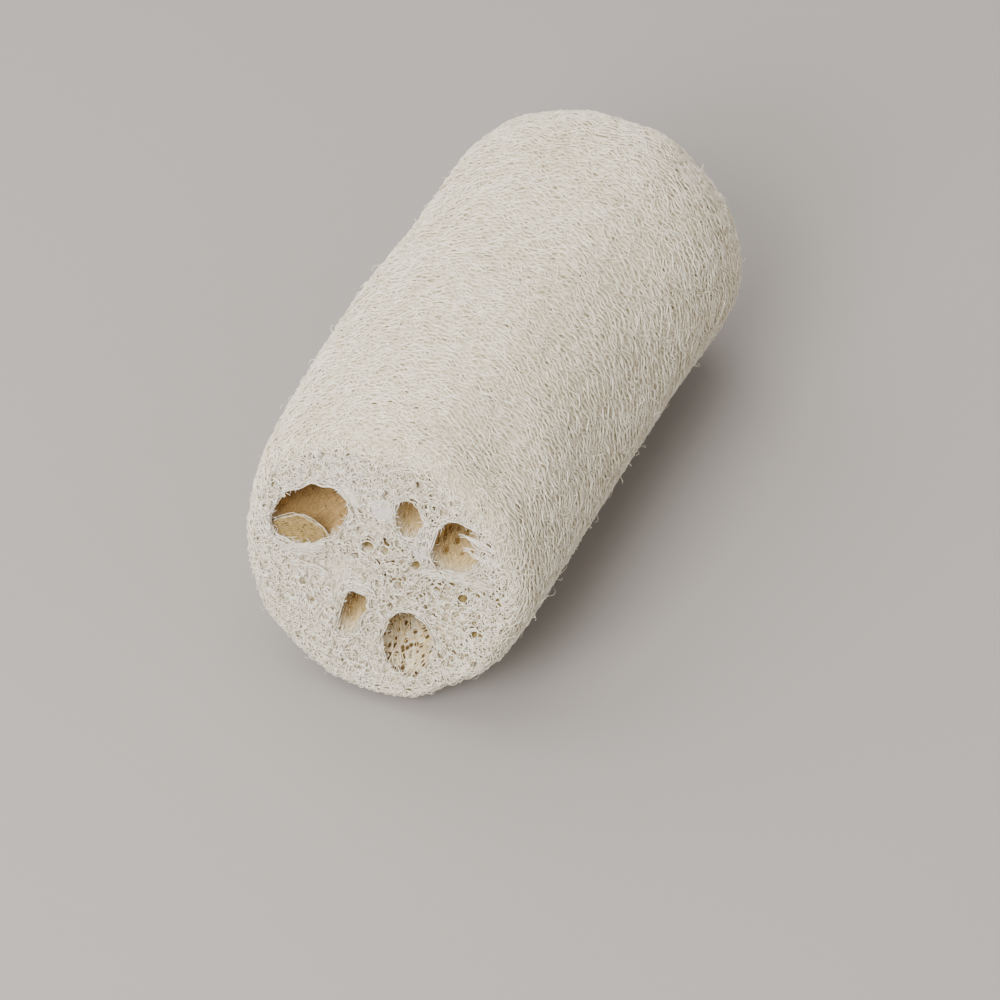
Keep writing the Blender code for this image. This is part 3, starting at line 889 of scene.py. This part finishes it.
# A film is given by the x and z of its corners and its depth in mm, and by its kind.
FILMS = {
    "inner": (((-3.4, 17.4), (3.0, 19.4), (3.8, 13.8), (-1.4, 12.2)), 0.05, "grey"),
    "side": (((6.6, 9.2), (11.4, 12.0), (11.6, 7.2), (8.4, 5.8)), 0.05, "grey"),
    "hood": (((-6.6, -6.6), (-2.8, -3.6), (0.2, -4.2), (-1.4, -7.2)), 0.05, "grey"),
    "left_brow": (((-12.4, 18.6), (-6.6, 19.0), (-3.0, 14.2), (-6.4, 13.6)), 0.15, "white"),
    "left_lip": (((-22.2, -0.4), (-19.2, -2.8), (-9.8, 1.6), (-10.4, 3.6)), 0.15, "white"),
    "upper_band": (((10.4, 2.2), (12.0, 5.4), (25.4, 7.4), (25.0, 4.4)), 0.1, "white"),
}
FILM_SIDE = 15
FILM_RAGGED = 0.12
FILM_EDGE_SINK = 0.8 * MM
film_places, film_faces, film_kinds = [], [], []
for corners, depth, kind in FILMS.values():
    a, b, c, d = np.array(corners) * MM + FRONT_MIDDLE
    p, q = np.meshgrid(*[np.linspace(-1, 1, FILM_SIDE)] * 2, indexing="ij")
    to_edge = np.maximum(abs(p), abs(q))
    ragged = 1 + FILM_RAGGED * draw.normal(size=p.shape) * (to_edge > 0.99)
    u = (0.5 + 0.5 * p * np.sqrt(1 - q ** 2 / 2) * ragged)[..., None]
    v = (0.5 + 0.5 * q * np.sqrt(1 - p ** 2 / 2) * ragged)[..., None]
    spots = (a * (1 - u) + b * u) * (1 - v) + (d * (1 - u) + c * u) * v
    film_faces += grid_faces(len(film_places) * FILM_SIDE ** 2, FILM_SIDE, FILM_SIDE)
    film_places.append(face_paths(-1, spots, depth * MM + FILM_EDGE_SINK * to_edge ** 4).reshape(-1, 3))
    film_kinds += [("grey", "white").index(kind)] * (FILM_SIDE - 1) ** 2
grey_film = fibre_finish("grey_film", (0.60, 0.56, 0.53, 1), (0.74, 0.70, 0.67, 1), 900.0, 0.7)
white_film = fibre_finish("white_film", (0.62, 0.56, 0.46, 1), (0.86, 0.81, 0.72, 1), 700.0, 0.8)
films = mesh_object("mouth_films", np.concatenate(film_places), film_faces, grey_film, white_film)
films.data.polygons.foreach_set("material_index", film_kinds)

# A fold of the left chamber's own wall stands up from its lower lip, with a pale edge. Its two
# long edges are given as x, z and depth in mm.
FOLD_EDGE = ((-26.0, 1.8, 2.0), (-23.0, 3.8, 2.2), (-20.4, 5.8, 2.4), (-17.4, 6.7, 2.6),
             (-14.0, 5.7, 2.5), (-11.6, 4.2, 2.2), (-9.6, 3.2, 1.5))
FOLD_FOOT = ((-26.0, -0.6, 1.6), (-23.0, -0.6, 1.4), (-20.4, -0.8, 1.3), (-17.4, -0.8, 1.3),
             (-14.0, 0.2, 1.3), (-11.6, 1.2, 1.3), (-9.0, 2.2, 1.4))
FOLD_COLUMNS, FOLD_ROWS = 30, 12
FOLD_ARCH = 0.25 * MM
FOLD_WAVES = 0.16 * MM
CREST_FIBRES, CREST_WIDTH = 4, 0.09 * MM
marks = np.array([FOLD_EDGE, FOLD_FOOT]) * MM
marks[..., 0] += FRONT_OFFSET
edges = [smooth_line(edge, FOLD_COLUMNS, 4) for edge in marks]


def across_fold(down):
    """Points across the fold, as far down from its edge as a share says."""
    return edges[0] * (1 - down[..., None]) + edges[1] * down[..., None]


def on_fold(points, arch, sunk=0.0):
    """Those points in place on the arched fold."""
    return face_paths(-1, points[..., :2] + [0, 1] * arch[..., None], points[..., 2] - 0.5 * arch - sunk)


down = np.linspace(0, 1, FOLD_ROWS)[:, None]
fold = across_fold(down)
bulge = FOLD_ARCH * np.sin(np.pi * down) + FOLD_WAVES * drift(fold, 1.8 * MM, 62)
mesh_object("chamber_fold", on_fold(fold, bulge).reshape(-1, 3),
            grid_faces(0, FOLD_ROWS, FOLD_COLUMNS), fold_felt)
crest = np.stack([edges[0]] * CREST_FIBRES)
spread, moved = draw.normal(0, FOLD_WAVES, (CREST_FIBRES, 1, 3)), draw.normal(0, MM, (CREST_FIBRES, 1, 3))
crest = crest + spread + FOLD_WAVES * drift(crest + moved, 3 * MM, 63)[..., None]
strands("fold_edge", face_paths(-1, crest[..., :2], crest[..., 2]), CREST_WIDTH, facing(crest, -1),
        tan_fibre)

# Fine golden fibres run along the fold.
FOLD_FIBRES = 16
FOLD_FIBRE_COLOURS = (0.36, 0.25, 0.09, 1), (0.54, 0.40, 0.19, 1)
down = (np.arange(FOLD_FIBRES) + draw.uniform(0.2, 0.8, FOLD_FIBRES))[:, None] / FOLD_FIBRES
down = np.clip(down + 0.05 * drift(across_fold(down), 2 * MM, 64), 0, 1)
lines = on_fold(across_fold(down), FOLD_ARCH * np.sin(np.pi * down), 0.05 * MM)
strands("fold_fibres", lines, 0.07 * MM, facing(lines, -1),
        fibre_finish("golden_fold_fibre", *FOLD_FIBRE_COLOURS, 1000.0, 0.8))


# Each chamber is lined with long straight fibres that the seeds lay against, tied by a few
# that cross them.
LINING_COLOURS = (0.76, 0.67, 0.50, 1), (0.93, 0.86, 0.70, 1)
golden_lining = golden_and_shaded_inside(fibre_finish("golden_lining_fibre", *LINING_COLOURS, 1000.0, 0.8), *GOLDEN)
fading_lining = golden_and_shaded_inside(fibre_finish("fading_lining_fibre", *LINING_COLOURS, 1000.0, 0.8), *PALE_GOLDEN)
LINING_FIBRES = {"left": 30, "upper_small": 14, "upper_large": 18, "lower_small": 20, "lower_large": 6}
LINING_POINTS = 44


def line_chamber(chamber, kind, angle, share, out, width):
    """Fibres on a chamber's wall, facing its middle."""
    paths, centre = [lean(chamber_place(chamber, angle, share, away)) for away in (out, -2.0 * MM)]
    strands(chamber + kind, paths, width, centre - paths,
            golden_lining if chamber == "left" else fading_lining, lying=True)


for chamber, count in LINING_FIBRES.items():
    angle = 2 * np.pi * (np.arange(count)[:, None] + drawn(-0.3, 0.3, count)) / count
    share = np.linspace(0.004, 0.996, LINING_POINTS)[None, :] + np.zeros_like(angle)
    angle = angle + np.zeros_like(share)
    rough = chamber_place(chamber, angle, share)
    angle = angle + 0.16 * drift(rough, 15 * MM, 41)
    sunk = (0.2 + 0.1 * drift(rough, 6 * MM, 42)) * MM
    line_chamber(chamber, "_lining", angle, share, sunk, 0.11 * MM * (1 + 0.3 * drift(rough, 6 * MM, 43)))

# Near both mouths a finer net covers the linings.
NET_DEPTH, NET_POINTS = 0.17, 60
NET_LINES = {"left": 58, "upper_small": 26, "upper_large": 36, "lower_small": 28, "lower_large": 30}
for chamber, lines in NET_LINES.items():
    line = np.concatenate([np.arange(lines), np.arange(lines)])[:, None]
    at_back = (np.arange(2 * lines) >= lines)[:, None]
    step = np.linspace(0.004, NET_DEPTH, NET_POINTS)[None, :]
    share = np.where(at_back, 1 - step, step)
    netted = chamber == "lower_large"
    phase = 2 * np.pi * step * LENGTH / ((2.5 if netted else 2.3) * MM) + np.pi * line
    angle = 2 * np.pi * line / lines + np.zeros_like(share)
    rough = chamber_place(chamber, angle, share)
    sway = 0.46 * np.sin(phase + 1.5 * drift(rough, 6 * MM, 44)) + 0.5 * drift(rough, 5 * MM, 45)
    out = ((0.22 if netted else 0.1 if "lower" in chamber else 0.26) + 0.12 * drift(rough, 3 * MM, 46)) * MM
    width = (0.12 if "lower" in chamber else 0.08) * MM * (1 + 0.25 * drift(rough, 3 * MM, 47))
    line_chamber(chamber, "_net", angle + 2 * np.pi / lines * sway, share, out, width)


# Stray fibre ends curl off the skin, where the rind was pulled away.
STRAYS, STRAY_POINTS = 460, 10
STRAY_REACH = 1.0 * MM, 3.6 * MM
STRAY_LIFT = 0.2 * MM, 1.4 * MM
STRAY_WIDTH = 0.085 * MM
first_run, first_angle = drawn(0, SKIN_RUN, STRAYS), drawn(0, 2 * np.pi, STRAYS)
step = np.linspace(0, 1, STRAY_POINTS)[None, :]
reach = drawn(*STRAY_REACH, STRAYS)
turn = drawn(0, 2 * np.pi, STRAYS) + scattered(1.5, STRAYS) * step
round_way, along_way = curled(turn, reach)
lift = drawn(*STRAY_LIFT, STRAYS) * np.sin(step * drawn(1.2, 2.8, STRAYS))
angle = first_angle + round_way / (DIAMETER / 2)
run = np.clip(first_run + along_way, 0, SKIN_RUN)
strands("stray_ends", skin_place(angle, run, lift - 0.2 * MM, 0.2 * MM),
        STRAY_WIDTH * (1 - 0.5 * step), skin_normal(angle, run), white_fibre)


# The floor is a plain pale sheet, and the light is soft studio light from above and the left.
floor_mesh = bpy.data.meshes.new("pale_floor")
floor_mesh.from_pydata([(-3, -3, 0), (3, -3, 0), (3, 3, 0), (-3, 3, 0)], [], [(0, 1, 2, 3)])
floor = bpy.data.objects.new("pale_floor", floor_mesh)
bpy.context.scene.collection.objects.link(floor)
floor_material = bpy.data.materials.new("pale_floor")
floor_material.use_nodes = True
feed_all(floor_material.node_tree.nodes["Principled BSDF"], Base_Color=(0.33, 0.31, 0.30, 1), Roughness=0.9)
floor_mesh.materials.append(floor_material)

LIGHT_COLOUR = (1.0, 0.982, 0.94)
LIT_POINT = Vector((0, 0, 0.03))
LIGHTS = {
    "window_light": ((-0.42, 0.0, 0.95), 1.3, 14.2),
    "front_fill": ((-0.05, -0.9, 0.8), 0.6, 18.5),
    "right_fill": ((0.9, 0.1, 0.5), 0.8, 1.0),
}
for name, (place, size, power) in LIGHTS.items():
    light_data = bpy.data.lights.new(name, "AREA")
    light_data.size = size
    light_data.energy = power
    light_data.color = LIGHT_COLOUR
    light = bpy.data.objects.new(name, light_data)
    light.location = place
    light.rotation_euler = (LIT_POINT - light.location).to_track_quat("-Z", "Y").to_euler()
    bpy.context.scene.collection.objects.link(light)
world = bpy.data.worlds.new("studio")
world.use_nodes = True
feed_all(world.node_tree.nodes["Background"], Color=(1.0, 0.94, 0.885, 1), Strength=0.54)
bpy.context.scene.world = world
